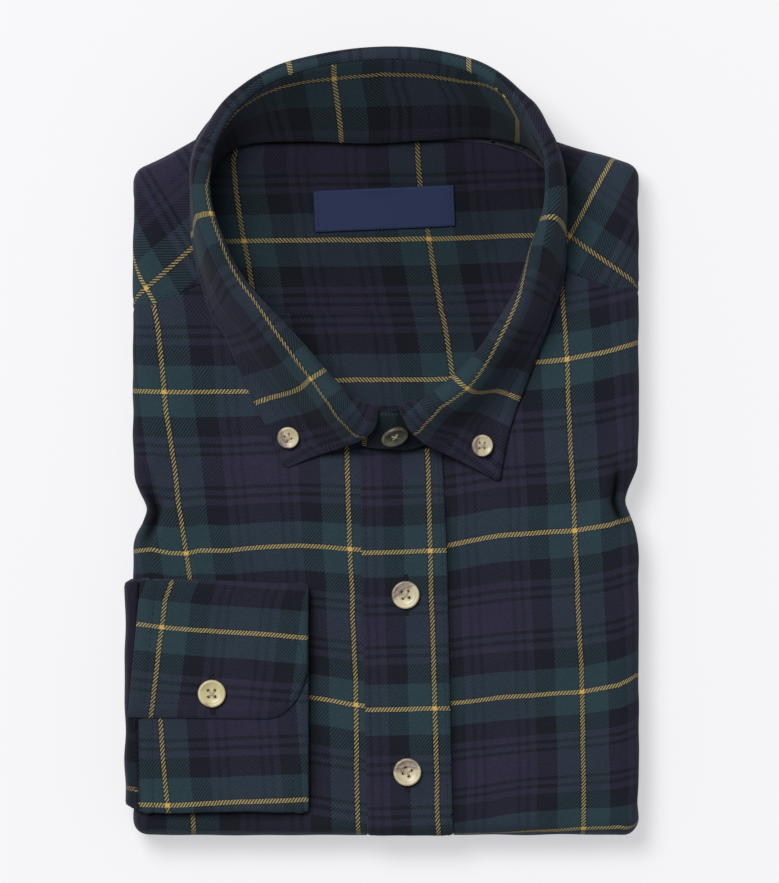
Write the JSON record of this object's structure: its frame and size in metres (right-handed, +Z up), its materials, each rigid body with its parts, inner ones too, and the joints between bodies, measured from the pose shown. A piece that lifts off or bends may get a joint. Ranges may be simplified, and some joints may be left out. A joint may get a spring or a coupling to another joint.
{
  "type": "dress shirt",
  "caption": "Brushed flannel tartan dress shirt with a button-down collar, buttoned and folded flat, one cuff brought to the front.",
  "frame": {"origin": "on the surface the shirt lies on, under the middle of the folded shirt", "axes": "+Z up out of the surface, +Y from the hem towards the collar, +X towards the wearer's left"},
  "size_m": [0.2108, 0.3224, 0.0548],
  "materials": {
    "brushed_tartan": "brushed cotton flannel, 2/2 twill, dark green, navy and black tartan with yellow lines",
    "hidden_layers": "the same brushed flannel, folded out of sight",
    "label_satin": "plain woven navy satin",
    "horn": "polished imitation horn, mottled cream and brown"
  },
  "bodies": {
    "root": {"folded_layers": "hidden_layers", "front_right": "brushed_tartan", "front_left": "brushed_tartan", "yoke_outer": "brushed_tartan", "yoke_inside": "brushed_tartan", "back_inside": "brushed_tartan", "neck_label": "label_satin", "front_placket": "brushed_tartan", "collar_stand": "brushed_tartan", "collar_leaf": "brushed_tartan", "sleeve_right": "brushed_tartan", "cuff_right": "brushed_tartan", "button_front_1": "horn", "button_front_2": "horn", "button_cuff": "horn", "button_collar_right": "horn", "button_collar_left": "horn", "button_stand": "horn"}
  },
  "joints": []
}
